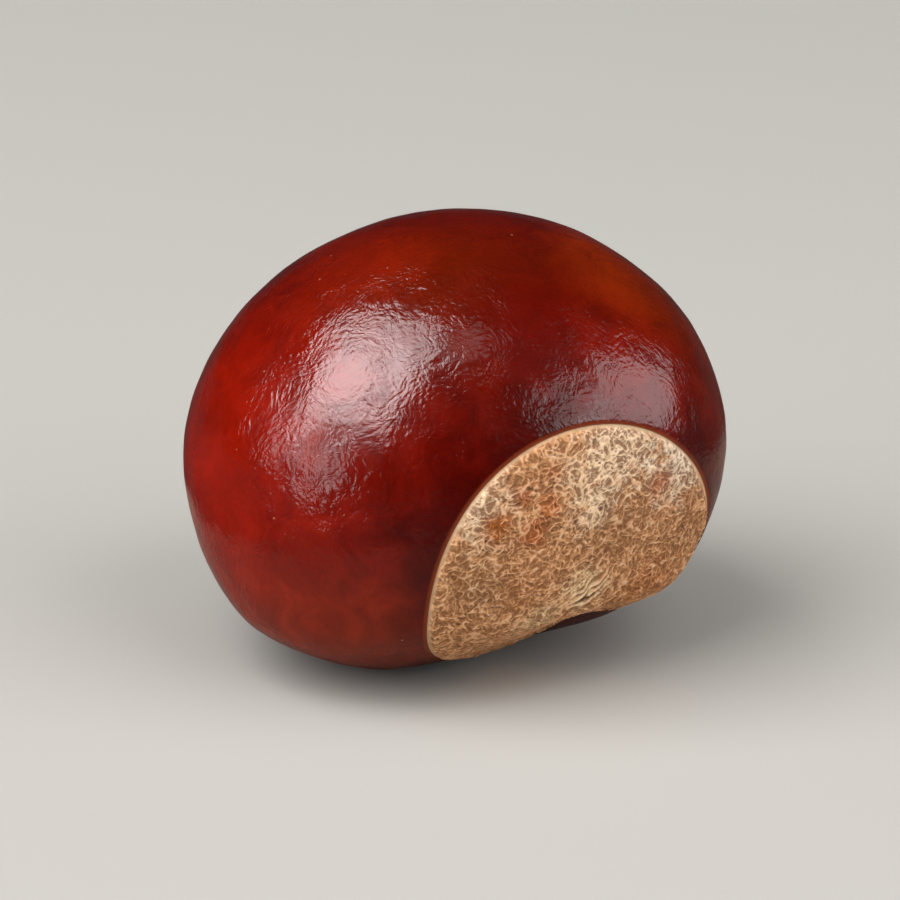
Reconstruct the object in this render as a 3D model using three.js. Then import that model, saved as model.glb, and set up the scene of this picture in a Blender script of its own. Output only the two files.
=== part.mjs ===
// A conker: the ripe seed of the horse chestnut, lying on its side with its pale scar at the front right.
// Millimetres, +Z up, and the front is -Y. The origin is under the middle of the seed, on the floor.
//
// The whole seed is one closed surface. Every point of it lies in some direction from the seed's middle,
// at the distance that seedRadius gives. The mesh is a set of rings round the scar's middle, so that one
// ring runs exactly along the scar's border, and the last ring closes on the far side of the seed.
import * as THREE from "three";

// ---- Driving dimensions, in millimetres and degrees ----
// A direction has an azimuth, 0 at the front (-Y) and 90 at the right (+X), and an elevation.

// The ellipsoid under the whole form. Its right end is raised by lean, and its back by pitch.
const SEED = { halfLength: 17.8, halfDepth: 16.15, halfHeight: 15.45, lean: 6.7, pitch: 4.1 };

// Where the seed was pressed in its husk, it is flatter: there it follows a large ball.
const PRESSED = {
  underside: { azimuth: 23, elevation: -76, distance: 12.15, ballRadius: 40, blend: 0.4 },
  scarFace: { azimuth: 30, elevation: -15, distance: 15.1, ballRadius: 34, blend: 0.3 },
};

// Gentle swellings and dents, each this high at its middle and fading out over spread degrees.
const SWELLS = {
  heel: { azimuth: -35, elevation: -48, height: 2.1, spread: 30 },
  back: { azimuth: 160, elevation: 5, height: 1.95, spread: 55 },
  sole: { azimuth: 75, elevation: -81, height: 1.4, spread: 24 },
  brow: { azimuth: -60, elevation: 35, height: -0.3, spread: 30 },
  cheek: { azimuth: 75, elevation: 10, height: 0.3, spread: 30 },
  lobe: { azimuth: 68, elevation: -34, height: 0.4, spread: 15 },
  notch: { azimuth: 53, elevation: -41, height: -0.65, spread: 13 },
  rootTip: { azimuth: 75, elevation: -48, height: 0.75, spread: 11 },
};

// The scar (hilum), where the seed sat on its husk. It is oval, but one side of it is a nearly straight
// chord with a notch. Angles are from its middle as seen from the seed's own middle, and a turn goes
// round it, from 0 at its top.
const SCAR = { azimuth: 35.8, elevation: -22.7, halfWidth: 41.7 };
const SCAR_SHIFT = { amount: 1.3, turn: -110 };
const SCAR_OVAL = { amount: 3.5, turn: 199 };
const SCAR_CHORD = { distance: 30, turn: 231.5, corner: 1.2, reach: 88 };
const SCAR_NOTCH = { depth: 8.3, turn: 214, spread: 13.5 };

// A section across the scar's border: the corky pad stands a little proud with a rounded edge, then
// comes a thin groove, and then the lip of the glossy seed coat. Across is outwards from the border.
const SCAR_EDGE = [
  { across: -1.6, height: 0.08 },
  { across: -0.8, height: 0.15 },
  { across: -0.3, height: 0.2 },
  { across: -0.08, height: 0.12 },
  { across: 0.06, height: -0.1 },
  { across: 0.25, height: 0 },
  { across: 0.55, height: 0.06 },
  { across: 1.3, height: 0 },
];

// The young root lies folded under the seed coat: a low ridge between two shallow grooves, from the
// scar's notch to the back, along the turn of the notch. Its tip is the swelling just past the notch.
const ROOT_RIDGE = { height: 0.4, groove: 0.22, halfWidth: 11, grooveAt: 21, start: 38, end: 112, fade: 14 };

// The seed rests on a spot that is worn flat by this much.
const FOOT_DEPTH = 0.4;

// The mesh: the ring round the widest part has SECTORS points, and a ring that would have its points
// closer than CLOSEST_POINTS has half as many, or a quarter, down to the last ring before a pole.
const SECTORS = 96;
const FEWEST_SECTORS = 6;
const CLOSEST_POINTS = 0.6;
const SCAR_RINGS = 11;
const COAT_RINGS = 38;

const COLOURS = { seedCoat: 0x4a0d06, scar: 0xc49a6c };
const ROUGHNESS = 0.25;

// ---- Directions and lengths ----

const { degToRad, euclideanModulo, lerp, radToDeg, smoothstep } = THREE.MathUtils;

/** The unit vector towards a place that has an azimuth and an elevation. */
function toward({ azimuth, elevation }) {
  const level = Math.cos(degToRad(elevation));
  const turn = degToRad(azimuth);
  return new THREE.Vector3(Math.sin(turn) * level, -Math.cos(turn) * level, Math.sin(degToRad(elevation)));
}

/** The smaller of two numbers, rounded off over blend where they meet. */
function softMin(a, b, blend) {
  const least = Math.min(a, b);
  return least - blend * Math.log(Math.exp((least - a) / blend) + Math.exp((least - b) / blend));
}

/** A smooth bump: 1 at 0, and nearly gone at twice the spread. */
function bell(offset, spread) {
  return Math.exp(-((offset / spread) ** 2));
}

/** An angle in degrees, brought between -180 and 180. */
function wrapped(angle) {
  return euclideanModulo(angle + 180, 360) - 180;
}

const seedTurn = new THREE.Quaternion().setFromEuler(
  new THREE.Euler(degToRad(SEED.pitch), -degToRad(SEED.lean), 0, "YXZ"),
);
const toSeedAxes = seedTurn.clone().invert();
const scarMiddle = toward(SCAR);
const scarTop = new THREE.Vector3(0, 0, 1).addScaledVector(scarMiddle, -scarMiddle.z).normalize();
const scarSide = new THREE.Vector3().crossVectors(scarMiddle, scarTop);

/** The direction that lies angle degrees from the scar's middle, at a turn round it. */
function fromScar(angle, turn) {
  const tilt = degToRad(angle);
  const round = degToRad(turn);
  return new THREE.Vector3()
    .addScaledVector(scarMiddle, Math.cos(tilt))
    .addScaledVector(scarTop, Math.sin(tilt) * Math.cos(round))
    .addScaledVector(scarSide, Math.sin(tilt) * Math.sin(round));
}

// ---- The seed's form ----

/** How far the bare ellipsoid's surface is in a direction. */
function ellipsoidRadius(direction) {
  const along = direction.clone().applyQuaternion(toSeedAxes);
  const half = new THREE.Vector3(SEED.halfLength, SEED.halfDepth, SEED.halfHeight);
  return 1 / along.divide(half).length();
}

/** How far a pressed face's ball is in a direction. */
function pressedRadius(direction, face) {
  const toBall = face.ballRadius - face.distance;
  const cosine = direction.dot(toward(face));
  return -cosine * toBall + Math.sqrt((cosine * toBall) ** 2 + face.ballRadius ** 2 - toBall ** 2);
}

/** How much the folded root raises the surface, given the place round the scar. */
function rootRidgeHeight(angle, turn) {
  const offLine = degToRad(turn - SCAR_NOTCH.turn);
  if (Math.cos(offLine) < 0) return 0;
  const across = radToDeg(Math.asin(Math.sin(degToRad(angle)) * Math.sin(offLine)));
  const { start, end, fade, height, halfWidth, groove, grooveAt } = ROOT_RIDGE;
  const along = smoothstep(angle, start, start + fade) * (1 - smoothstep(angle, end - fade, end + fade));
  const grooves = bell(Math.abs(across) - grooveAt, halfWidth / 2);
  return along * (height * bell(across, halfWidth) - groove * grooves);
}

/** The distance from the seed's middle to its surface, angle degrees from the scar's middle. */
function seedRadius(angle, turn) {
  const direction = fromScar(angle, turn);
  let radius = ellipsoidRadius(direction);
  for (const face of Object.values(PRESSED)) {
    radius = softMin(radius, pressedRadius(direction, face), face.blend);
  }
  for (const swell of Object.values(SWELLS)) {
    radius += swell.height * bell(radToDeg(direction.angleTo(toward(swell))), swell.spread);
  }
  return radius + rootRidgeHeight(angle, turn);
}

/** The angle from the scar's middle to its border, at a turn round it. */
function scarBorder(turn) {
  const shift = SCAR_SHIFT.amount * Math.cos(degToRad(turn - SCAR_SHIFT.turn));
  const oval = SCAR_OVAL.amount * Math.cos(2 * degToRad(turn - SCAR_OVAL.turn));
  const towardsChord = Math.cos(degToRad(turn - SCAR_CHORD.turn));
  const straight = Math.tan(degToRad(SCAR_CHORD.distance)) / Math.max(towardsChord, 1e-3);
  const chord = Math.min(radToDeg(Math.atan(straight)), SCAR_CHORD.reach);
  const border = softMin(SCAR.halfWidth + shift + oval, chord, SCAR_CHORD.corner);
  return border - SCAR_NOTCH.depth * bell(wrapped(turn - SCAR_NOTCH.turn), SCAR_NOTCH.spread);
}

// ---- The rings ----

/** How many points a ring has that lies angle degrees from a pole. */
function sectorsAt(angle) {
  const round = 2 * Math.PI * SEED.halfDepth * Math.sin(degToRad(angle));
  let count = SECTORS;
  while (count > FEWEST_SECTORS && round / count < CLOSEST_POINTS) count /= 2;
  return count;
}

/**
 * One ring of points.
 * @param {number} count how many points it has
 * @param {(turn: number) => number} angleAt its angle from the scar's middle at a turn
 * @param {number} height how far it stands above the plain form
 * @param {number} colour the colour of its points
 */
function ringOf(count, angleAt, height, colour) {
  const points = Array.from({ length: count }, (_, index) => {
    const turn = (360 * index) / count;
    const angle = angleAt(turn);
    return fromScar(angle, turn).multiplyScalar(seedRadius(angle, turn) + height);
  });
  return { points, colour };
}

/** A length across the scar's border as an angle at the seed's middle. */
function edgeAngle(across) {
  return radToDeg(across / SEED.halfDepth);
}

/** The rings of the scar's pad, from near its middle to where its edge begins. */
function padRings() {
  const edge = SCAR_EDGE[0];
  return Array.from({ length: SCAR_RINGS }, (_, index) => {
    const share = (index + 1) / (SCAR_RINGS + 1);
    const angleAt = (turn) => share * (scarBorder(turn) + edgeAngle(edge.across));
    return ringOf(sectorsAt(share * SCAR.halfWidth), angleAt, edge.height, COLOURS.scar);
  });
}

/** The rings across the scar's border, from the pad to the seed coat. */
function edgeRings() {
  return SCAR_EDGE.map(({ across, height }) => {
    const angleAt = (turn) => scarBorder(turn) + edgeAngle(across);
    return ringOf(SECTORS, angleAt, height, across < 0 ? COLOURS.scar : COLOURS.seedCoat);
  });
}

/** The rings of the seed coat, from the scar's lip to near the far side. */
function coatRings() {
  const edge = SCAR_EDGE[SCAR_EDGE.length - 1];
  return Array.from({ length: COAT_RINGS }, (_, index) => {
    const share = (index + 1) / (COAT_RINGS + 1);
    const angleAt = (turn) => lerp(scarBorder(turn) + edgeAngle(edge.across), 180, share);
    const fromFarSide = (180 - SCAR.halfWidth) * (1 - share);
    return ringOf(sectorsAt(Math.min(fromFarSide, 90)), angleAt, edge.height, COLOURS.seedCoat);
  });
}

/** A pole of the seed as a ring of one point. */
function poleAt(angle, height, colour) {
  return ringOf(1, () => angle, height, colour);
}

// ---- The closed surface ----

/**
 * The triangles between two rings that follow each other. The next ring has as many points as this
 * one, twice as many, half as many, or is a single point at a pole.
 */
function bandBetween(inner, outer) {
  const triangles = [];
  const steps = Math.max(inner.count, outer.count);
  const pointOf = (ring, step) => ring.first + (Math.round((step * ring.count) / steps - 0.25) % ring.count);
  for (let step = 0; step < steps; step += 1) {
    const [a, b] = [pointOf(inner, step), pointOf(inner, step + 1)];
    const [c, d] = [pointOf(outer, step), pointOf(outer, step + 1)];
    if (c !== d) triangles.push(a, c, d);
    if (a !== b) triangles.push(a, d, b);
  }
  return triangles;
}

/** The seed's surface from its rings, with its foot flat on the floor and its middle over the origin. */
function surfaceOf(rings) {
  const points = rings.flatMap((ring) => ring.points);
  const floor = Math.min(...points.map((point) => point.z)) + FOOT_DEPTH;
  for (const point of points) point.z = Math.max(point.z - floor, 0);
  const box = new THREE.Box3().setFromPoints(points);
  const middle = box.getCenter(new THREE.Vector3());
  const colours = rings.flatMap((ring) => ring.points.flatMap(() => new THREE.Color(ring.colour).toArray()));
  let first = 0;
  const spans = rings.map((ring) => {
    const span = { first, count: ring.points.length };
    first += span.count;
    return span;
  });
  const triangles = spans.slice(1).flatMap((span, index) => bandBetween(spans[index], span));
  return new THREE.BufferGeometry()
    .setFromPoints(points)
    .setAttribute("color", new THREE.Float32BufferAttribute(colours, 3))
    .setIndex(triangles)
    .translate(-middle.x, -middle.y, 0);
}

/** The conker as one named mesh, which is coloured point by point as seed coat or scar. */
function conkerMesh() {
  const geometry = surfaceOf([
    poleAt(0, SCAR_EDGE[0].height, COLOURS.scar),
    ...padRings(),
    ...edgeRings(),
    ...coatRings(),
    poleAt(180, 0, COLOURS.seedCoat),
  ]);
  geometry.computeVertexNormals();
  const material = new THREE.MeshStandardMaterial({ vertexColors: true, roughness: ROUGHNESS, metalness: 0 });
  const mesh = new THREE.Mesh(geometry, material);
  mesh.name = "conker";
  return mesh;
}

const conker = new THREE.Group();
conker.add(conkerMesh());

export default conker;
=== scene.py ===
"""Dresses a ripe conker: a glossy mahogany seed coat round a corky scar, on a pale floor in soft light.

The seed is one still body, and both pieces here stand for its one solid. Sizes are in millimetres
until they reach a mesh or a shader, which are in metres. A direction is an azimuth, 0 at the front
and 90 at the right, with an elevation, both in degrees from the seed's middle.
"""

from __future__ import annotations

import logging
import math
from dataclasses import dataclass, field
from enum import Enum
from typing import ClassVar

import bmesh
import bpy
from mathutils import Matrix, Vector, kdtree, noise

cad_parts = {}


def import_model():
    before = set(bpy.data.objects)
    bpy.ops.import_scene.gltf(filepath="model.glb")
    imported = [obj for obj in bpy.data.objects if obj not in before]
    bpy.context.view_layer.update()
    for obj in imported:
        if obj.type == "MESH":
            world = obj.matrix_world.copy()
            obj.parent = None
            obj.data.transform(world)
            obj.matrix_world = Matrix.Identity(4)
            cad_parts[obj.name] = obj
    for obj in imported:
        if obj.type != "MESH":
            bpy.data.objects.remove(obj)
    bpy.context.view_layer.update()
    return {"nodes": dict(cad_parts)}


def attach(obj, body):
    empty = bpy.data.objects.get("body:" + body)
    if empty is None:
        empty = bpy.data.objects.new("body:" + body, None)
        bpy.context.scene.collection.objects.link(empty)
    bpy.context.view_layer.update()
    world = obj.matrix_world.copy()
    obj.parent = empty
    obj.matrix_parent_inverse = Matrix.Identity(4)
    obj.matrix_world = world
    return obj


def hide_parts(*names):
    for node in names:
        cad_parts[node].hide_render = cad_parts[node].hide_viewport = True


log = logging.getLogger("conker")

MM = 0.001
BODY = "root"
SOLID = "conker"


# ---------------------------------------------------------------------------------------------
# Small helpers
# ---------------------------------------------------------------------------------------------


def linear(hex_colour: str) -> tuple[float, float, float, float]:
    """Turns an sRGB colour into the linear one that shaders take.

    Args:
        hex_colour: Six hex digits, such as "8a0e03".

    Returns:
        Red, green, blue and an alpha of 1.
    """
    channels = [int(hex_colour[i : i + 2], 16) / 255 for i in (0, 2, 4)]
    r, g, b = (c / 12.92 if c <= 0.04045 else ((c + 0.055) / 1.055) ** 2.4 for c in channels)
    return r, g, b, 1.0


def per_metre(wavelength: float) -> float:
    """The noise scale that gives a pattern this wavelength in millimetres."""
    return 1 / (wavelength * MM)


def ease(value: float, low: float, high: float) -> float:
    """Rises smoothly from 0 at low to 1 at high."""
    share = min(max((value - low) / (high - low), 0.0), 1.0)
    return share * share * (3 - 2 * share)


def bell(offset: float, spread: float) -> float:
    """A smooth bump: 1 at 0, and nearly gone at twice the spread."""
    return math.exp(-((offset / spread) ** 2))


def add_node(
    tree: bpy.types.NodeTree,
    kind: str,
    settings: dict[str, object] | None = None,
    inputs: dict[str | int, object] | None = None,
) -> bpy.types.Node:
    """Adds a shader node.

    Args:
        tree: The material's node tree.
        kind: The node's type name.
        settings: The node's own properties, by name.
        inputs: What goes into its sockets, by name or place: another node's output, or a value.

    Returns:
        The new node.
    """
    node = tree.nodes.new(kind)
    for name, value in (settings or {}).items():
        setattr(node, name, value)
    for name, source in (inputs or {}).items():
        if isinstance(source, bpy.types.NodeSocket):
            tree.links.new(source, node.inputs[name])
        else:
            node.inputs[name].default_value = source
    return node


def select_only(piece: bpy.types.Object) -> None:
    """Makes one object the only selected one, and the active one.

    Args:
        piece: The object.
    """
    bpy.ops.object.select_all(action="DESELECT")
    piece.select_set(True)
    bpy.context.view_layer.objects.active = piece


def apply_modifier(piece: bpy.types.Object, kind: str, settings: dict[str, object]) -> None:
    """Adds a modifier with its settings and applies it.

    Args:
        piece: The object that gets it.
        kind: The modifier's type name.
        settings: The modifier's own properties, by name.
    """
    select_only(piece)
    modifier = piece.modifiers.new(kind.title(), kind)
    for name, value in settings.items():
        setattr(modifier, name, value)
    bpy.ops.object.modifier_apply(modifier=modifier.name)


def write_attribute(piece: bpy.types.Object, name: str, values: list[float]) -> None:
    """Stores one number for each vertex of piece, for its material to read."""
    attribute = piece.data.attributes.new(name, "FLOAT", "POINT")
    attribute.data.foreach_set("value", values)


def lift(piece: bpy.types.Object, heights: list[float]) -> None:
    """Moves each vertex along its own normal.

    Args:
        piece: The object whose mesh moves.
        heights: How far each vertex moves outwards, in millimetres.
    """
    moved: list[float] = []
    for vertex, height in zip(piece.data.vertices, heights, strict=True):
        moved.extend(vertex.co + vertex.normal * height * MM)
    piece.data.vertices.foreach_set("co", moved)
    piece.data.update()


class Attribute(Enum):
    """The numbers that a piece's vertices carry for its material."""

    EDGE = "edge_mm"
    RELIEF = "relief"
    PIT = "pit"


@dataclass(frozen=True)
class Place:
    """A direction from the seed's middle."""

    azimuth: float
    elevation: float

    def unit(self) -> Vector:
        """Turns the direction into a vector.

        Returns:
            The unit vector that way.
        """
        turn, rise = math.radians(self.azimuth), math.radians(self.elevation)
        level = math.cos(rise)
        return Vector((math.sin(turn) * level, -math.cos(turn) * level, math.sin(rise)))


# ---------------------------------------------------------------------------------------------
# Finishes
# ---------------------------------------------------------------------------------------------


@dataclass(frozen=True)
class Blush:
    """A soft patch of another colour, with its reach in millimetres."""

    place: Place
    colour: str
    reach: float
    strength: float = 1.0


def lay_blushes(
    tree: bpy.types.NodeTree,
    place: bpy.types.NodeSocket,
    ragged: bpy.types.NodeSocket,
    colour: bpy.types.NodeSocket | tuple[float, float, float, float],
    blushes: tuple[Blush, ...],
    raggedness: float,
) -> bpy.types.NodeSocket:
    """Lays soft patches over a colour.

    Args:
        tree: The material's node tree.
        place: The point on the seed.
        ragged: A cloudy pattern, about 0.5, that bends the patches' outlines.
        colour: The colour under them.
        blushes: The patches, the lowest first.
        raggedness: How far the pattern moves an outline, as a share of the patch's reach.

    Returns:
        The colour with the patches on it.
    """
    from_middle = add_node(
        tree, "ShaderNodeVectorMath", {"operation": "SUBTRACT"}, {0: place, 1: tuple(Seed.MIDDLE * MM)}
    )
    outwards = add_node(
        tree, "ShaderNodeVectorMath", {"operation": "NORMALIZE"}, {0: from_middle.outputs["Vector"]}
    ).outputs["Vector"]
    for blush in blushes:
        reach = blush.reach / Seed.RADIUS
        swing = 2 * raggedness * reach
        away = add_node(
            tree,
            "ShaderNodeVectorMath",
            {"operation": "DISTANCE"},
            {0: outwards, 1: tuple(blush.place.unit())},
        ).outputs["Value"]
        bent = add_node(
            tree,
            "ShaderNodeMath",
            {"operation": "MULTIPLY_ADD"},
            {0: ragged, 1: -2 * swing, 2: away},
        ).outputs["Value"]
        share = add_node(
            tree,
            "ShaderNodeMapRange",
            {"interpolation_type": "SMOOTHERSTEP"},
            {
                "Value": bent,
                "From Min": -swing,
                "From Max": reach - swing,
                "To Min": blush.strength,
                "To Max": 0.0,
            },
        ).outputs["Result"]
        colour = add_node(
            tree, "ShaderNodeMix", {"data_type": "RGBA"}, {0: share, 6: colour, 7: linear(blush.colour)}
        ).outputs[2]
    return colour


@dataclass(frozen=True)
class SeedCoatFinish:
    """The ripe seed coat of a horse chestnut: thin, leathery, and glossy with its own wax.

    The wax gives clear reflections, which fine crossing wrinkles break up at their edges. The colour
    lies under it, and drifts from near black round the scar to red and orange-brown at the sides.
    """

    base: str = "5e0902"
    dark: str = "3c0401"
    lip: str = "8c3a18"
    blushes: tuple[Blush, ...] = (
        # The bright red on the left is partly the seed's own red and partly painted light, a glow where the
        # key lamp falls.
        Blush(Place(-62, 6), "861101", 19.0),
        Blush(Place(-125, 8), "661603", 14.0, 0.8),
        Blush(Place(0, 66), "5a1201", 14.0, 0.85),
        Blush(Place(-60, 64), "801803", 9.0, 0.5),
        # The top's orange-brown is partly the seed's own colour and partly a painted glow of light along the
        # top rim.
        Blush(Place(86, 48), "842602", 9.0, 0.7),
        Blush(Place(55, 63), "500c02", 5.0, 0.6),
        Blush(Place(100, 20), "6a1c03", 12.0, 0.85),
        Blush(Place(28, 48), "560500", 8.0, 0.8),
        # Painted light: a brighter red laid where the fill lamp's highlight falls on the right.
        Blush(Place(56, 27), "7a1205", 8.0, 0.6),
        Blush(Place(-30, -36), "862a10", 12.0, 0.6),
        Blush(Place(-150, 20), "862004", 16.0, 0.8),
        Blush(Place(160, -20), "6c1a04", 13.0, 0.7),
    )
    raggedness: float = 0.12
    # The dark ring's width, how far its outer edge wanders, and its share at the scar.
    dark_reach: float = 6.0
    dark_wander: float = 6.0
    dark_share: float = 0.9
    # The lip's colour begins at the first distance from the border, and is full at the second.
    lip_edge: tuple[float, float] = (0.3, 0.05)
    lip_share: float = 0.6
    # Clouds of colour, and the streaks that flow round the scar: gap, length and wander.
    mottle: float = 3.2
    streak: float = 1.1
    streak_length: float = 8.0
    streak_wander: float = 5.0
    shade: tuple[float, float] = (0.68, 1.3)
    # Real specks are finer than 0.1 mm. These are about twice that, so that they show.
    speck: float = 0.9
    speck_share: float = 0.14
    speck_core: float = 0.04
    speck_edge: float = 0.12
    speck_strength: float = 0.75
    speck_colour: str = "b0705c"
    # A plant wax's IOR, and how rough its clear and its hazy places are.
    ior: float = 1.4
    gloss: float = 0.13
    haze: float = 0.2
    haze_patch: float = 4.0
    # The finest wrinkles, the wave that bends them all, and the places where they are worn flatter.
    wrinkle_width: float = 0.27
    wrinkle_length: float = 1.7
    wrinkle_height: float = 0.027
    wrinkle_wave: float = 3.0
    wrinkle_bend: float = 2.2
    worn_patch: float = 2.4
    worn_share: float = 0.5
    # Each set's rise and turn in degrees, and its size beside the finest.
    wrinkles: tuple[tuple[float, float, float], ...] = (
        (0, 0, 1.0),
        (0, 60, 2.6),
        (0, 120, 1.0),
        (50, 25, 1.9),
        (50, 85, 1.0),
        (50, 145, 2.6),
        (80, 50, 1.9),
    )

    def material(self) -> bpy.types.Material:
        """Builds the coat's material.

        Returns:
            The material.
        """
        made = bpy.data.materials.new("waxed_seed_coat")
        made.use_nodes = True
        tree = made.node_tree
        tree.nodes.clear()
        place = add_node(tree, "ShaderNodeTexCoord").outputs["Object"]
        warp = add_node(
            tree,
            "ShaderNodeTexNoise",
            inputs={"Vector": place, "Scale": per_metre(self.wrinkle_wave), "Detail": 1.0},
        ).outputs["Color"]
        bump = add_node(
            tree,
            "ShaderNodeBump",
            inputs={"Strength": 1.0, "Distance": 1.0, "Height": self._height(tree, place, warp)},
        )
        cloud = add_node(
            tree,
            "ShaderNodeTexNoise",
            inputs={"Vector": place, "Scale": per_metre(self.haze_patch), "Detail": 3.0},
        ).outputs["Fac"]
        rough = add_node(
            tree,
            "ShaderNodeMapRange",
            inputs={
                "Value": cloud,
                "From Min": 0.3,
                "From Max": 0.7,
                "To Min": self.gloss,
                "To Max": self.haze,
            },
        )
        shader = add_node(
            tree,
            "ShaderNodeBsdfPrincipled",
            inputs={
                "Base Color": self._figure(tree, place, warp),
                "Roughness": rough.outputs["Result"],
                "IOR": self.ior,
                "Normal": bump.outputs["Normal"],
            },
        )
        add_node(tree, "ShaderNodeOutputMaterial", inputs={"Surface": shader.outputs["BSDF"]})
        return made

    def _colour(
        self, tree: bpy.types.NodeTree, place: bpy.types.NodeSocket, mottle: bpy.types.NodeSocket
    ) -> bpy.types.NodeSocket:
        """The slow drift of the colour: the dark round the scar with its thin torn lip, and the blushes.

        Args:
            tree: The material's node tree.
            place: The point on the seed.
            mottle: The cloudy pattern of the colour.

        Returns:
            The colour's socket.
        """
        edge = add_node(
            tree, "ShaderNodeAttribute", {"attribute_name": Attribute.EDGE.value}
        ).outputs["Fac"]
        bent = add_node(
            tree, "ShaderNodeMath", {"operation": "MULTIPLY_ADD"}, {0: mottle, 1: self.dark_wander, 2: edge}
        ).outputs["Value"]
        share = add_node(
            tree,
            "ShaderNodeMapRange",
            {"interpolation_type": "SMOOTHSTEP"},
            {
                "Value": bent,
                "From Min": self.dark_wander / 2,
                "From Max": self.dark_wander / 2 + self.dark_reach,
                "To Min": self.dark_share,
                "To Max": 0.0,
            },
        ).outputs["Result"]
        ringed = add_node(
            tree,
            "ShaderNodeMix",
            {"data_type": "RGBA"},
            {0: share, 6: linear(self.base), 7: linear(self.dark)},
        ).outputs[2]
        blushed = lay_blushes(tree, place, mottle, ringed, self.blushes, self.raggedness)
        share = add_node(
            tree,
            "ShaderNodeMapRange",
            {"interpolation_type": "SMOOTHSTEP"},
            {
                "Value": edge,
                "From Min": self.lip_edge[0],
                "From Max": self.lip_edge[1],
                "To Min": 0.0,
                "To Max": self.lip_share,
            },
        ).outputs["Result"]
        return add_node(
            tree, "ShaderNodeMix", {"data_type": "RGBA"}, {0: share, 6: blushed, 7: linear(self.lip)}
        ).outputs[2]

    def _figure(
        self, tree: bpy.types.NodeTree, place: bpy.types.NodeSocket, warp: bpy.types.NodeSocket
    ) -> bpy.types.NodeSocket:
        """The colour with its fine figure: streaks that flow round the scar, and pale specks.

        Args:
            tree: The material's node tree.
            place: The point on the seed.
            warp: A slow drift that bends the streaks.

        Returns:
            The finished colour's socket.
        """
        mottle = add_node(
            tree,
            "ShaderNodeTexNoise",
            inputs={
                "Vector": place,
                "Scale": per_metre(self.mottle),
                "Detail": 5.0,
                "Roughness": 0.6,
                "Distortion": 0.6,
            },
        ).outputs["Fac"]
        centre = Seed.SCAR.unit() * Seed.RADIUS * MM + Seed.MIDDLE * MM
        away = add_node(
            tree, "ShaderNodeVectorMath", {"operation": "DISTANCE"}, {0: place, 1: tuple(centre)}
        ).outputs["Value"]
        drift = add_node(
            tree,
            "ShaderNodeMath",
            {"operation": "MULTIPLY_ADD"},
            {0: warp, 1: self.streak_wander * MM, 2: away},
        ).outputs["Value"]
        rings = add_node(
            tree, "ShaderNodeMath", {"operation": "MULTIPLY"}, {0: drift, 1: per_metre(self.streak)}
        ).outputs["Value"]
        streak = add_node(
            tree,
            "ShaderNodeTexNoise",
            {"noise_dimensions": "4D"},
            {
                "Vector": place,
                "W": rings,
                "Scale": per_metre(self.streak_length),
                "Detail": 3.0,
                "Roughness": 0.55,
            },
        ).outputs["Fac"]
        tone = add_node(
            tree, "ShaderNodeMath", {"operation": "ADD"}, {0: streak, 1: mottle}
        ).outputs["Value"]
        shade = add_node(
            tree,
            "ShaderNodeMapRange",
            inputs={
                "Value": tone,
                "From Min": 0.7,
                "From Max": 1.3,
                "To Min": self.shade[0],
                "To Max": self.shade[1],
            },
        ).outputs["Result"]
        shaded = add_node(
            tree,
            "ShaderNodeVectorMath",
            {"operation": "SCALE"},
            {0: self._colour(tree, place, mottle), "Scale": shade},
        ).outputs["Vector"]
        cells = add_node(
            tree, "ShaderNodeTexVoronoi", inputs={"Vector": place, "Scale": per_metre(self.speck)}
        )
        rare = add_node(
            tree,
            "ShaderNodeMath",
            {"operation": "LESS_THAN"},
            {0: cells.outputs["Color"], 1: self.speck_share},
        ).outputs["Value"]
        dot = add_node(
            tree,
            "ShaderNodeMapRange",
            {"interpolation_type": "SMOOTHSTEP"},
            {
                "Value": cells.outputs["Distance"],
                "From Min": self.speck_core,
                "From Max": self.speck_edge,
                "To Min": self.speck_strength,
                "To Max": 0.0,
            },
        ).outputs["Result"]
        speck = add_node(
            tree, "ShaderNodeMath", {"operation": "MULTIPLY"}, {0: rare, 1: dot}
        ).outputs["Value"]
        return add_node(
            tree,
            "ShaderNodeMix",
            {"data_type": "RGBA"},
            {0: speck, 6: shaded, 7: linear(self.speck_colour)},
        ).outputs[2]

    def _height(
        self, tree: bpy.types.NodeTree, place: bpy.types.NodeSocket, warp: bpy.types.NodeSocket
    ) -> bpy.types.NodeSocket:
        """The crossing wrinkles that break up the reflections, as a height in metres.

        Each set is a noise drawn out along one direction in space, and its folds are sharp. The sets
        point many ways, so any place on the seed is crossed by several.

        Args:
            tree: The material's node tree.
            place: The point on the seed.
            warp: A slow drift that bends the wrinkles.

        Returns:
            The height's socket.
        """
        bent = add_node(
            tree,
            "ShaderNodeVectorMath",
            {"operation": "MULTIPLY_ADD"},
            {0: warp, 1: (self.wrinkle_bend * MM,) * 3, 2: place},
        ).outputs["Vector"]
        total: bpy.types.NodeSocket | float = 0.0
        for rise, turn, size in self.wrinkles:
            across, along = self.wrinkle_width * size * MM, self.wrinkle_length * size * MM
            turned = add_node(
                tree,
                "ShaderNodeMapping",
                {"vector_type": "TEXTURE"},
                {
                    "Vector": bent,
                    "Rotation": (0.0, math.radians(rise), math.radians(turn)),
                    "Scale": (along, across, across),
                },
            ).outputs["Vector"]
            wave = add_node(
                tree, "ShaderNodeTexNoise", inputs={"Vector": turned, "Scale": 1.0, "Detail": 1.0}
            ).outputs["Fac"]
            from_fold = add_node(
                tree, "ShaderNodeMath", {"operation": "SUBTRACT"}, {0: wave, 1: 0.5}
            ).outputs["Value"]
            fold = add_node(
                tree, "ShaderNodeMath", {"operation": "ABSOLUTE"}, {0: from_fold}
            ).outputs["Value"]
            total = add_node(
                tree, "ShaderNodeMath", {"operation": "MULTIPLY_ADD"}, {0: fold, 1: size, 2: total}
            ).outputs["Value"]
        worn = add_node(
            tree,
            "ShaderNodeTexNoise",
            inputs={"Vector": place, "Scale": per_metre(self.worn_patch), "Detail": 2.0},
        ).outputs["Fac"]
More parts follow.
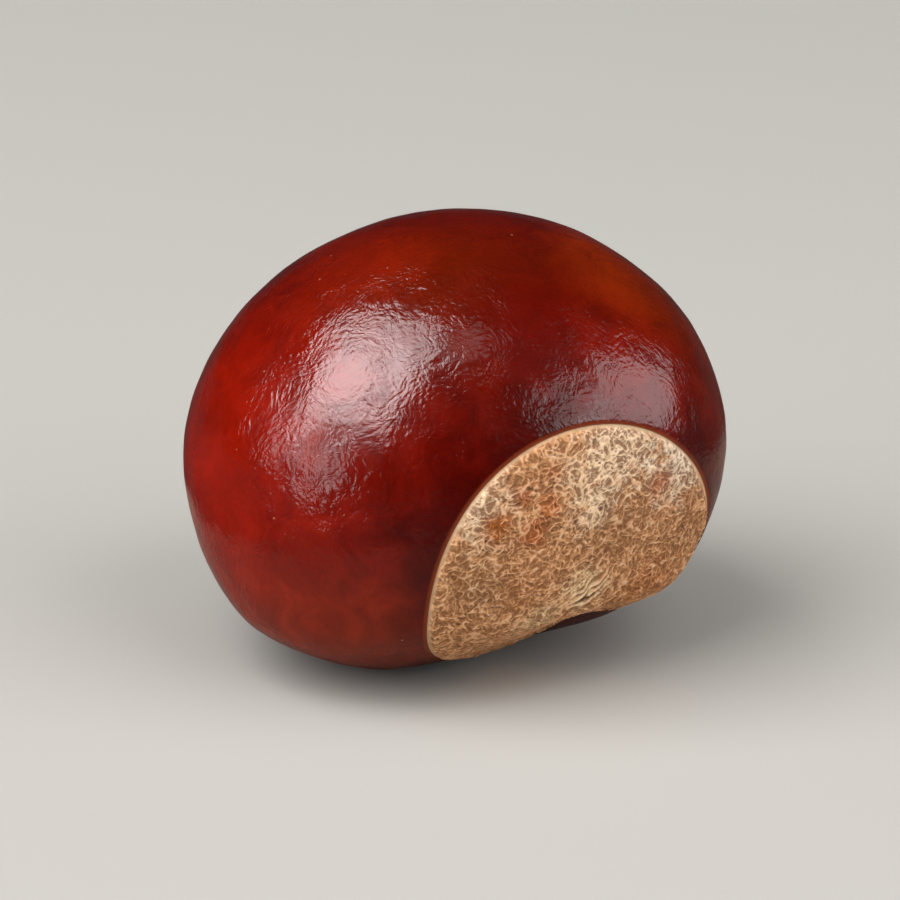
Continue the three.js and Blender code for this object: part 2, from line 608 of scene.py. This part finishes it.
        share = add_node(
            tree,
            "ShaderNodeMapRange",
            {"interpolation_type": "SMOOTHSTEP"},
            {
                "Value": worn,
                "From Min": 0.35,
                "From Max": 0.65,
                "To Min": self.worn_share * self.wrinkle_height * MM,
                "To Max": self.wrinkle_height * MM,
            },
        ).outputs["Result"]
        return add_node(
            tree, "ShaderNodeMath", {"operation": "MULTIPLY"}, {0: total, 1: share}
        ).outputs["Value"]


@dataclass(frozen=True)
class ScarFinish:
    """The scar's cork: dead cell walls, torn from the husk, so it is matt, pale and fibrous.

    The fibres' tops are laid paler and the hollows between them darker, partly the cork's own colours and
    partly painted highlight and painted shade. The pits are coloured dark brown.
    """

    top: str = "ecd6b8"
    middle: str = "af7b50"
    hollow: str = "85502a"
    pit: str = "56341b"
    rim: str = "d2b08a"
    groove: str = "6a3218"
    # The pale patches on the scar's upper part are partly the cork's own colour and partly painted light,
    # which falls more on that part.
    blushes: tuple[Blush, ...] = (
        Blush(Place(6, 6), "ccb294", 4.2, 0.75),
        Blush(Place(44, 15), "d2b596", 5.0, 0.85),
        Blush(Place(60, 8), "d0bba2", 4.4, 0.85),
        Blush(Place(37, 2), "d0b494", 3.0, 0.85),
        Blush(Place(32, 11), "cfb08d", 2.8, 0.7),
        Blush(Place(37, -21), "c8ac84", 3.0, 0.8),
        Blush(Place(25, -28), "c4a47c", 2.8, 0.6),
        Blush(Place(43, -7), "8f6038", 3.6, 0.7),
        Blush(Place(66, -12), "8f5f36", 3.4, 0.7),
        Blush(Place(59, -23), "a3602c", 3.4, 0.7),
        Blush(Place(19, -16), "9c6238", 3.0, 0.6),
        Blush(Place(7, -14), "85603d", 3.6, 0.6),
        Blush(Place(11, 1.5), "a05614", 1.9, 1.0),
        Blush(Place(18, 8), "94491a", 1.4, 0.75),
        Blush(Place(25, 13), "9c4f20", 1.1, 0.6),
        Blush(Place(24, 4.5), "a85a22", 1.7, 0.85),
        Blush(Place(21, -1.5), "a0531f", 1.8, 0.85),
        Blush(Place(55, 4), "9c4e1e", 1.6, 0.8),
    )
    raggedness: float = 0.5
    patch: float = 1.1
    # Clumps of fibres are laid paler together, partly their own colour and partly painted light. This
    # painted shade goes from dark to pale as the level rises.
    clump: float = 0.75
    clump_share: float = 2.0
    level: tuple[float, float] = (0.8, 2.5)
    shade: tuple[float, float] = (0.82, 1.6)
    # Cork's cells are about 0.03 mm wide, drawn three times as coarse so that they show.
    grain: float = 0.09
    grain_height: float = 0.012
    grain_share: float = 0.9
    roughness: float = 0.85
    specular: float = 0.3

    def material(self) -> bpy.types.Material:
        """Builds the scar's material.

        Returns:
            The material.
        """
        made = bpy.data.materials.new("scar_cork")
        made.use_nodes = True
        tree = made.node_tree
        tree.nodes.clear()
        place = add_node(tree, "ShaderNodeTexCoord").outputs["Object"]
        grain = add_node(
            tree,
            "ShaderNodeTexNoise",
            inputs={"Vector": place, "Scale": per_metre(self.grain), "Detail": 2.0, "Distortion": 0.8},
        ).outputs["Fac"]
        height = add_node(
            tree, "ShaderNodeMath", {"operation": "MULTIPLY"}, {0: grain, 1: self.grain_height * MM}
        ).outputs["Value"]
        bump = add_node(
            tree, "ShaderNodeBump", inputs={"Strength": 1.0, "Distance": 1.0, "Height": height}
        )
        shader = add_node(
            tree,
            "ShaderNodeBsdfPrincipled",
            inputs={
                "Base Color": self._colour(tree, place, grain),
                "Roughness": self.roughness,
                "Specular IOR Level": self.specular,
                "Normal": bump.outputs["Normal"],
            },
        )
        add_node(tree, "ShaderNodeOutputMaterial", inputs={"Surface": shader.outputs["BSDF"]})
        return made

    def _colour(
        self, tree: bpy.types.NodeTree, place: bpy.types.NodeSocket, grain: bpy.types.NodeSocket
    ) -> bpy.types.NodeSocket:
        """The cork's colour, which follows its relief partly as painted highlight and shade, with rusty and
        pale patches and a clean rim.

        Args:
            tree: The material's node tree.
            place: The point on the scar.
            grain: The finest grain.

        Returns:
            The colour's socket.
        """
        relief = add_node(
            tree, "ShaderNodeAttribute", {"attribute_name": Attribute.RELIEF.value}
        ).outputs["Fac"]
        level = add_node(
            tree, "ShaderNodeMath", {"operation": "MULTIPLY_ADD"}, {0: grain, 1: self.grain_share, 2: relief}
        ).outputs["Value"]
        patches = add_node(
            tree,
            "ShaderNodeTexNoise",
            inputs={
                "Vector": place,
                "Scale": per_metre(self.patch),
                "Detail": 4.0,
                "Roughness": 0.65,
                "Distortion": 0.5,
            },
        ).outputs["Fac"]
        ground = lay_blushes(tree, place, patches, linear(self.middle), self.blushes, self.raggedness)
        clumps = add_node(
            tree,
            "ShaderNodeTexNoise",
            inputs={"Vector": place, "Scale": per_metre(self.clump), "Detail": 2.0, "Roughness": 0.6},
        ).outputs["Fac"]
        level = add_node(
            tree,
            "ShaderNodeMath",
            {"operation": "MULTIPLY_ADD"},
            {0: clumps, 1: self.clump_share, 2: level},
        ).outputs["Value"]
        # Painted light and shade: the colour is scaled darker where the level is low and paler where it is
        # high.
        shade = add_node(
            tree,
            "ShaderNodeMapRange",
            {"interpolation_type": "SMOOTHSTEP"},
            {
                "Value": level,
                "From Min": self.level[0],
                "From Max": self.level[1],
                "To Min": self.shade[0],
                "To Max": self.shade[1],
            },
        ).outputs["Result"]
        ground = add_node(
            tree, "ShaderNodeVectorMath", {"operation": "SCALE"}, {0: ground, "Scale": shade}
        ).outputs["Vector"]
        pit = add_node(tree, "ShaderNodeAttribute", {"attribute_name": Attribute.PIT.value}).outputs["Fac"]
        edge = add_node(tree, "ShaderNodeAttribute", {"attribute_name": Attribute.EDGE.value}).outputs["Fac"]
        layers = (
            # What sets the share, where it is 0 and where 1, its most, and the colour laid.
            # The hollow and top rows are partly painted shade and painted highlight on the relief.
            (level, 1.5, 0.6, 0.68, self.hollow),
            (level, 1.6, 2.7, 0.35, self.top),
            (pit, 0.0, 1.0, 0.8, self.pit),
            (edge, 0.38, 0.18, 0.55, self.rim),
            (edge, 0.12, 0.04, 1.0, self.groove),
        )
        for source, none, full, most, colour in layers:
            share = add_node(
                tree,
                "ShaderNodeMapRange",
                {"interpolation_type": "SMOOTHSTEP"},
                {"Value": source, "From Min": none, "From Max": full, "To Min": 0.0, "To Max": most},
            ).outputs["Result"]
            ground = add_node(
                tree, "ShaderNodeMix", {"data_type": "RGBA"}, {0: share, 6: ground, 7: linear(colour)}
            ).outputs[2]
        return ground


@dataclass(frozen=True)
class FloorFinish:
    """Matt painted board: pale, and the same all over."""

    colour: str = "b3b0aa"
    roughness: float = 0.9

    def material(self) -> bpy.types.Material:
        """Builds the floor's material.

        Returns:
            The material.
        """
        made = bpy.data.materials.new("matt_floor")
        made.use_nodes = True
        shader = made.node_tree.nodes["Principled BSDF"]
        shader.inputs["Base Color"].default_value = linear(self.colour)
        shader.inputs["Roughness"].default_value = self.roughness
        return made


# ---------------------------------------------------------------------------------------------
# The seed
# ---------------------------------------------------------------------------------------------


@dataclass
class Seed:
    """The plain form that both pieces are cut from: the solid's own surface, merged and in quads."""

    # Where directions start, the mean radius, and where the scar faces.
    MIDDLE: ClassVar[Vector] = Vector((-0.29, -0.8, 13.61))
    RADIUS: ClassVar[float] = 16.5
    SCAR: ClassVar[Place] = Place(35.8, -22.7)

    solid: bpy.types.Object
    merge: float = 0.002
    quad_angle: float = 60.0
    border_angle: float = 50.0

    def copy(self, name: str) -> bpy.types.Object:
        """Makes a merged copy of the solid's surface, with nothing selected in it.

        Args:
            name: The new piece's name.

        Returns:
            The new piece, in edit mode.
        """
        piece = bpy.data.objects.new(name, self.solid.data.copy())
        bpy.context.scene.collection.objects.link(piece)
        piece.data.materials.clear()
        select_only(piece)
        bpy.ops.object.mode_set(mode="EDIT")
        bpy.ops.mesh.select_all(action="SELECT")
        bpy.ops.mesh.customdata_custom_splitnormals_clear()
        bpy.ops.mesh.remove_doubles(threshold=self.merge * MM)
        angle = math.radians(self.quad_angle)
        bpy.ops.mesh.tris_convert_to_quads(face_threshold=angle, shape_threshold=angle)
        bpy.ops.mesh.select_all(action="DESELECT")
        return piece

    def select_scar(self, piece: bpy.types.Object) -> None:
        """Selects the scar's faces, from its middle out to the sharp bottom of the groove round it.

        Args:
            piece: The piece in edit mode, with nothing selected.
        """
        faces = bmesh.from_edit_mesh(piece.data).faces
        centre, towards = self.MIDDLE * MM, self.SCAR.unit()
        middle = max(faces, key=lambda f: (f.calc_center_median() - centre).normalized().dot(towards))
        middle.select = True
        faces.active = middle
        bmesh.update_edit_mesh(piece.data)
        bpy.ops.mesh.faces_select_linked_flat(sharpness=math.radians(self.border_angle))


@dataclass
class Border:
    """The scar's border as a fine chain of points, which says how far any point is from it."""

    step: float = 0.04
    tree: kdtree.KDTree | None = None

    def read(self, piece: bpy.types.Object) -> None:
        """Takes the border from an open piece's outer edge.

        Args:
            piece: The scar's sheet, before it is closed.
        """
        mesh = bmesh.new()
        mesh.from_mesh(piece.data)
        points = []
        for edge in mesh.edges:
            if edge.is_boundary:
                start, end = (v.co for v in edge.verts)
                steps = max(1, math.ceil(edge.calc_length() / (self.step * MM)))
                points += [start.lerp(end, i / steps) for i in range(steps)]
        mesh.free()
        self.tree = kdtree.KDTree(len(points))
        for index, point in enumerate(points):
            self.tree.insert(point, index)
        self.tree.balance()

    def distance(self, point: Vector) -> float:
        """How far a point is from the border, in millimetres."""
        return self.tree.find(point)[2] / MM


@dataclass
class ScarPad:
    """The corky scar: a thin closed pad whose top is carved into fibres and pits."""

    seed: Seed
    border: Border
    name: str = "scar_pad"
    levels: int = 2
    finest: float = 0.094
    # The relief begins at the first distance from the border, and is full at the second.
    rim: tuple[float, float] = (0.14, 0.34)
    lump: float = 2.6
    lump_height: float = 0.1
    # How the fibres curl, how far apart and how thin they are, and how their height frays.
    curl: float = 1.1
    curl_reach: float = 0.35
    curl_seed: int = 5
    fibre_gap: float = 0.55
    fibre_share: float = 0.1
    fibre_sizes: tuple[float, ...] = (1.0, 0.72, 0.52, 1.35)
    fibre_height: float = 0.045
    fibre_rise: float = 1.7
    fibre_base: float = -0.8
    fray: float = 0.4
    fray_level: float = 0.9
    fray_swing: float = 0.6
    grit: float = 0.17
    grit_share: float = 0.6
    # A pit's floor and wall are shares of its cell. Pits come where their patches are high enough.
    pit: float = 0.4
    pit_depth: float = 0.06
    pit_wall: tuple[float, float] = (0.1, 0.38)
    pit_patch: float = 1.3
    pit_chance: tuple[float, float] = (-0.15, 0.3)
    # The crease sags between its two ends, tapers towards them and has a lip beside it.
    crease: tuple[Place, Place] = (Place(35.2, -25.0), Place(41.9, -22.5))
    crease_depth: float = 0.2
    crease_width: float = 0.13
    crease_sag: float = 0.16
    crease_taper: float = 0.5
    # The crease's painted shade: how far it lowers the colour's level, and how far it raises the pit
    # colour's share.
    crease_shadow: float = 1.5
    crease_pit_shade: float = 1.2
    lip_offset: float = 2.2
    lip_height: float = 0.8
    # The folds' gap, turn and height, the patch they fade out over, and how uneven they are.
    fold: float = 0.5
    fold_turn: float = 0.4
    fold_height: float = 0.1
    fold_rise: float = 0.1
    fold_length: float = 2.0
    fold_lean: float = 0.5
    fold_band: float = 1.1
    fold_offset: float = 0.5
    fold_ragged: float = 0.9
    fold_wander: float = 0.5
    fold_uneven: float = 0.8
    fold_calm: float = 0.6
    skirt: float = 0.55
    finish: ScarFinish = field(default_factory=ScarFinish)

    def build(self) -> bpy.types.Object:
        """Cuts the pad from the seed, carves it, closes it and dresses it.

        Returns:
            The finished pad.
        """
        pad = self.seed.copy(self.name)
        self.seed.select_scar(pad)
        bpy.ops.mesh.select_all(action="INVERT")
        bpy.ops.mesh.delete(type="FACE")
        bpy.ops.object.mode_set(mode="OBJECT")
        apply_modifier(pad, "SUBSURF", {"levels": self.levels, "render_levels": self.levels})
        self.border.read(pad)
        self._refine(pad)
        self._carve(pad)
        self._close(pad)
        select_only(pad)
        bpy.ops.object.shade_smooth()
        pad.data.materials.append(self.finish.material())
        return pad

    def _refine(self, pad: bpy.types.Object) -> None:
        """Halves the sheet's longer edges until they can carry the fibres.

        Args:
            pad: The open sheet.
        """
        select_only(pad)
        bpy.ops.object.mode_set(mode="EDIT")
        bpy.ops.mesh.select_mode(type="EDGE")
        # The longest edges go first, so that the faces stay even.
        longest = self.finest * 4
        while longest > self.finest:
            longest = max(longest / 2, self.finest)
            bpy.ops.mesh.select_all(action="DESELECT")
            mesh = bmesh.from_edit_mesh(pad.data)
            for edge in mesh.edges:
                edge.select = edge.calc_length() > longest * MM
            bmesh.update_edit_mesh(pad.data)
            bpy.ops.mesh.subdivide(number_cuts=1)
        bpy.ops.object.mode_set(mode="OBJECT")

    def _carve(self, pad: bpy.types.Object) -> None:
        """Moves the top's vertices to the fibres' relief, and stores what the material reads.

        Args:
            pad: The open sheet.
        """
        # Without a seed, noise_vector takes one from the clock.
        noise.seed_set(self.curl_seed)
        ends = [self._on_surface(pad, place) for place in self.crease]
        heights, edges, reliefs, pits = [], [], [], []
        for vertex in pad.data.vertices:
            edge = self.border.distance(vertex.co)
            relief, pit = self._relief(vertex.co / MM)
            calm, fold, crease = self._pucker(vertex.co, ends)
            share = ease(edge, *self.rim)
            relief, pit = share * calm * relief, share * calm * pit
            height = self.fibre_height * relief - self.pit_depth * pit - self.crease_depth * crease
            lumps = share * self.lump_height * noise.noise(vertex.co / (self.lump * MM))
            lumps += share * self.fold_height * fold
            edges.append(edge)
            # The colour's level also takes the folds and the crease: painted light on the folds' ridges,
            # painted shade in their troughs and in the crease.
            reliefs.append(relief + share * fold - self.crease_shadow * crease)
            pits.append(min(pit + self.crease_pit_shade * crease, 1.0))
            heights.append(height + lumps)
        lift(pad, heights)
        write_attribute(pad, Attribute.EDGE.value, edges)
        write_attribute(pad, Attribute.RELIEF.value, reliefs)
        write_attribute(pad, Attribute.PIT.value, pits)

    def _relief(self, point: Vector) -> tuple[float, float]:
        """The fibres' height and the pits' depth at a point.

        Args:
            point: The point, in millimetres.

        Returns:
            The fibres' height, from about -1 to 1, and how deep in a pit it is, from 0 to 1.
        """
        curled = point + noise.noise_vector(point / self.curl) * self.curl_reach
        fibre = 0.0
        for layer, size in enumerate(self.fibre_sizes):
            # Each layer reads the noise at another place, so that no two follow each other.
            wave = noise.noise(curled / (self.fibre_gap * size) + Vector((0, 0, 7.3 * layer)))
            torn = noise.noise(point / self.fray + Vector((5.1 * layer, 0, 0)))
            fray = self.fray_level + self.fray_swing * torn
            fibre = max(fibre, fray * min(size, 1.0) * bell(wave, self.fibre_share))
        relief = self.fibre_rise * fibre + self.fibre_base
        relief += self.grit_share * noise.noise(point / self.grit)
        nearest = noise.voronoi(curled / self.pit)[0][0]
        chance = noise.noise(point / self.pit_patch)
        pit = (1 - ease(nearest, *self.pit_wall)) * ease(chance, *self.pit_chance)
        return relief, pit

    def _on_surface(self, pad: bpy.types.Object, place: Place) -> Vector:
        """Finds the pad's vertex that lies nearest a direction.

        Args:
            pad: The open sheet.
            place: The direction.

        Returns:
            The vertex's place, in metres.
        """
        towards, middle = place.unit(), self.seed.MIDDLE * MM
        nearest = max(pad.data.vertices, key=lambda v: (v.co - middle).normalized().dot(towards))
        return nearest.co.copy()

    def _pucker(self, point: Vector, ends: list[Vector]) -> tuple[float, float, float]:
        """The short dark crease by the border's bay, and the folds that gather round it.

        Args:
            point: A point of the sheet.
            ends: The crease's two ends.

        Returns:
            How free the point is of the folds, their height, and how deep in the crease it is.
        """
        along = (ends[1] - ends[0]).normalized()
        across = self.seed.SCAR.unit().cross(along).normalized()
        offset = (point - (ends[0] + ends[1]) / 2) / MM
        length, side = offset.dot(along), offset.dot(across)
        reach = (ends[1] - ends[0]).length / MM / 2
        taper = max(1 - (length / reach) ** 2, 0.0)
        off = side + self.crease_sag * taper
        depth = ease(taper, 0.0, self.crease_taper)
        crease = depth * bell(off, self.crease_width)
        lip = depth * bell(off + self.lip_offset * self.crease_width, self.crease_width)
        ragged = noise.noise(point / (self.fold_ragged * MM))
        fade = bell(length - self.fold_lean * side, self.fold_length)
        fade *= bell(side - self.fold_offset, self.fold_band)
        bent = side - self.fold_turn * length + self.fold_wander * ragged
        wave = math.cos(2 * math.pi * bent / self.fold)
        uneven = wave * (1 + self.fold_uneven * ragged)
        height = fade * (uneven + self.fold_rise) + self.lip_height * lip
        return 1 - self.fold_calm * fade, height, crease

    def _close(self, pad: bpy.types.Object) -> None:
        """Turns the open sheet into a closed pad, by a skirt down from its edge and a cap.

        Args:
            pad: The open sheet.
        """
        inwards = -self.seed.SCAR.unit() * self.skirt * MM
        select_only(pad)
        bpy.ops.object.mode_set(mode="EDIT")
        bpy.ops.mesh.select_all(action="DESELECT")
        bpy.ops.mesh.select_mode(type="EDGE")
        bpy.ops.mesh.select_non_manifold(
            extend=False, use_wire=False, use_multi_face=False, use_non_contiguous=False, use_verts=False
        )
        bpy.ops.mesh.extrude_region_move(TRANSFORM_OT_translate={"value": inwards})
        # A fan closes the pad. One big face would be cut into other triangles each run.
        bpy.ops.mesh.extrude_region_move()
        bpy.ops.mesh.merge(type="CENTER")
        bpy.ops.mesh.select_all(action="SELECT")
        bpy.ops.mesh.quads_convert_to_tris(quad_method="BEAUTY", ngon_method="BEAUTY")
        bpy.ops.mesh.normals_make_consistent(inside=False)
        bpy.ops.object.mode_set(mode="OBJECT")


@dataclass
class SeedCoat:
    """The glossy coat: the whole seed, closed, with a shallow bed that the scar's pad sits in."""

    seed: Seed
    border: Border
    name: str = "seed_coat"
    levels: int = 2
    bed_inset: float = 0.12
    bed_depth: float = 0.35
    # The slow and the quick waves' lengths and heights. They die out towards the border and the foot.
    swell: float = 5.5
    swell_height: float = 0.1
    ripple: float = 1.7
    ripple_height: float = 0.035
    by_border: tuple[float, float] = (0.4, 2.5)
    by_foot: tuple[float, float] = (0.05, 1.2)
    finish: SeedCoatFinish = field(default_factory=SeedCoatFinish)

    def build(self) -> bpy.types.Object:
        """Sinks the scar's bed, refines the form, lets it undulate and dresses it.

        Returns:
            The finished coat.
        """
        coat = self.seed.copy(self.name)
        self.seed.select_scar(coat)
        bpy.ops.mesh.inset(thickness=self.bed_inset * MM, depth=-self.bed_depth * MM, use_even_offset=False)
        bpy.ops.object.mode_set(mode="OBJECT")
        apply_modifier(coat, "SUBSURF", {"levels": self.levels, "render_levels": self.levels})
        self._undulate(coat)
        select_only(coat)
        bpy.ops.object.shade_smooth()
        coat.data.materials.append(self.finish.material())
        return coat

    def _undulate(self, coat: bpy.types.Object) -> None:
        """Gives the surface its slow waves, but leaves the scar's border and the foot as they are.

        Args:
            coat: The refined coat.
        """
        heights, edges = [], []
        for vertex in coat.data.vertices:
            edge = self.border.distance(vertex.co)
            height = vertex.co.z / MM
            free = ease(edge, *self.by_border) * ease(height, *self.by_foot)
            slow = self.swell_height * noise.noise(vertex.co / (self.swell * MM))
            quick = self.ripple_height * noise.noise(vertex.co / (self.ripple * MM))
            edges.append(edge)
            heights.append(free * (slow + quick))
        lift(coat, heights)
        write_attribute(coat, Attribute.EDGE.value, edges)


# ---------------------------------------------------------------------------------------------
# The studio
# ---------------------------------------------------------------------------------------------


class Sees(Enum):
    """Which light of a lamp reaches the seed."""

    SHADING = "diffuse light only"
    REFLECTION = "mirror reflections only"


@dataclass(frozen=True)
class Softbox:
    """A rectangular lamp that faces the seed, sized by the angles it spans in the seed's sky."""

    name: str
    place: Place
    wide: float
    high: float
    radiance: float
    sees: Sees
    roll: float = 0.0
    distance: float = 800.0

    def build(self, target: Vector) -> None:
        """Hangs the lamp.

        Args:
            target: What it faces, in metres.
        """
        lamp = bpy.data.lights.new(self.name, "AREA")
        lamp.shape = "RECTANGLE"
        reach = 2 * self.distance * MM
        lamp.size = reach * math.tan(math.radians(self.wide / 2))
        lamp.size_y = reach * math.tan(math.radians(self.high / 2))
        lamp.energy = self.radiance * math.pi * lamp.size * lamp.size_y
        hung = bpy.data.objects.new(self.name, lamp)
        bpy.context.scene.collection.objects.link(hung)
        outwards = self.place.unit()
        hung.location = target + outwards * self.distance * MM
        facing = outwards.to_track_quat("Z", "Y").to_matrix()
        hung.rotation_euler = (facing @ Matrix.Rotation(math.radians(self.roll), 3, "Z")).to_euler()
        hung.visible_glossy = self.sees is Sees.REFLECTION
        hung.visible_diffuse = self.sees is Sees.SHADING
        hung.visible_camera = False


@dataclass(frozen=True)
class Card:
    """A round brown card in a black sheet, laid on the floor for the seed's gloss alone to mirror."""

    middle: tuple[float, float] = (14.0, -8.0)
    radius: float = 52.0
    reach: float = 3000.0
    above: float = 0.3
    sides: int = 96
    colour: str = "7a6c61"
    sheet_colour: str = "020202"

    def build(self) -> list[bpy.types.Object]:
        """Lays the card and the sheet round it.

        Returns:
            The two, which neither the camera nor the light sees.
        """
        return [
            self._disc("card", 0.0, self.radius, self.colour),
            self._disc("flag", self.radius, self.reach, self.sheet_colour),
        ]

    def _disc(self, name: str, inner: float, outer: float, colour: str) -> bpy.types.Object:
        """Makes one flat disc or ring that only mirror reflections see.

        Args:
            name: Its name.
            inner: The radius of its hole in millimetres, or 0 for none.
            outer: Its own radius in millimetres.
            colour: The colour of its matt paper.

        Returns:
            The disc.
        """
        middle = (self.middle[0] * MM, self.middle[1] * MM, self.above * MM)
        bpy.ops.object.select_all(action="DESELECT")
        bpy.ops.mesh.primitive_circle_add(
            vertices=self.sides,
            radius=(inner or outer) * MM,
            fill_type="NOTHING" if inner else "NGON",
            location=middle,
        )
        disc = bpy.context.object
        disc.name = name
        if inner:
            wider = outer / inner
            bpy.ops.object.mode_set(mode="EDIT")
            bpy.ops.mesh.select_all(action="SELECT")
            bpy.ops.mesh.extrude_region_move()
            bpy.ops.transform.resize(value=(wider, wider, 1.0), center_override=middle)
            bpy.ops.object.mode_set(mode="OBJECT")
        paper = bpy.data.materials.new(name + "_paper")
        paper.use_nodes = True
        shader = paper.node_tree.nodes["Principled BSDF"]
        shader.inputs["Base Color"].default_value = linear(colour)
        shader.inputs["Roughness"].default_value = 1.0
        disc.data.materials.append(paper)
        disc.visible_camera = disc.visible_diffuse = disc.visible_shadow = False
        return disc


@dataclass
class Studio:
    """A pale floor, soft lamps and the camera."""

    camera_place: Place = Place(0.0, 20.0)
    camera_distance: float = 358.0
    focal_length: float = 215.0
    clip_start: float = 10.0
    floor_side: float = 6000.0
    world_colour: str = "202022"
    softboxes: tuple[Softbox, ...] = (
        Softbox("key", Place(-61, 46), 58, 58, 3.9, Sees.SHADING),
        Softbox("key_gleam", Place(-68, 51), 44, 50, 9.5, Sees.REFLECTION, 24),
        Softbox("key_core", Place(-68, 50), 25, 27, 6.5, Sees.REFLECTION, 24),
        Softbox("key_tail", Place(-74, 19), 20, 18, 4.5, Sees.REFLECTION, 24),
        Softbox("key_foot", Place(-55, 9), 14, 20, 5.5, Sees.REFLECTION),
        Softbox("window_gleam", Place(20, 75), 9, 15, 2.2, Sees.REFLECTION),
        Softbox("fill", Place(60, 35), 58, 58, 2.4, Sees.SHADING),
        Softbox("fill_gleam", Place(84, 19), 44, 40, 4.0, Sees.REFLECTION, 42),
        Softbox("side_gleam", Place(55, 30), 22, 24, 2.8, Sees.REFLECTION, 10),
        Softbox("top", Place(0, 88), 60, 60, 0.7, Sees.SHADING),
    )
    floor_finish: FloorFinish = field(default_factory=FloorFinish)
    card: Card = field(default_factory=Card)

    def build(self, target: Vector) -> list[bpy.types.Object]:
        """Sets up the floor, the lamps, the world and the camera.

        Args:
            target: The seed's middle, in metres.

        Returns:
            The floor and the cards.
        """
        bpy.context.scene.view_settings.view_transform = "Standard"
        world = bpy.data.worlds.new("studio")
        bpy.context.scene.world = world
        world.use_nodes = True
        world.node_tree.nodes["Background"].inputs["Color"].default_value = linear(self.world_colour)
        for softbox in self.softboxes:
            softbox.build(target)
        self._hang_camera(target)
        bpy.ops.object.select_all(action="DESELECT")
        bpy.ops.mesh.primitive_plane_add(size=self.floor_side * MM)
        floor = bpy.context.object
        floor.name = "floor"
        floor.data.materials.append(self.floor_finish.material())
        return [floor, *self.card.build()]

    def _hang_camera(self, target: Vector) -> None:
        """Puts the camera where it sees the seed from a little above.

        Args:
            target: What the camera looks at, in metres.
        """
        lens = bpy.data.cameras.new("camera")
        lens.lens = self.focal_length
        lens.clip_start = self.clip_start * MM
        camera = bpy.data.objects.new("camera", lens)
        bpy.context.scene.collection.objects.link(camera)
        back = self.camera_place.unit()
        camera.location = target + back * self.camera_distance * MM
        camera.rotation_euler = back.to_track_quat("Z", "Y").to_euler()
        bpy.context.scene.camera = camera


def main() -> None:
    """Builds the conker's pieces and the studio round them."""
    logging.basicConfig(level=logging.INFO, format="%(name)s: %(message)s")
    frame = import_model()
    seed = Seed(frame["nodes"][SOLID])
    border = Border()
    for sub_assembly in (ScarPad(seed, border), SeedCoat(seed, border)):
        piece = sub_assembly.build()
        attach(piece, BODY)
        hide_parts(SOLID)
        piece.data.calc_loop_triangles()
        log.info("%s has %d triangles", piece.name, len(piece.data.loop_triangles))
    for prop in Studio().build(seed.MIDDLE * MM):
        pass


if __name__ == "__main__":
    main()
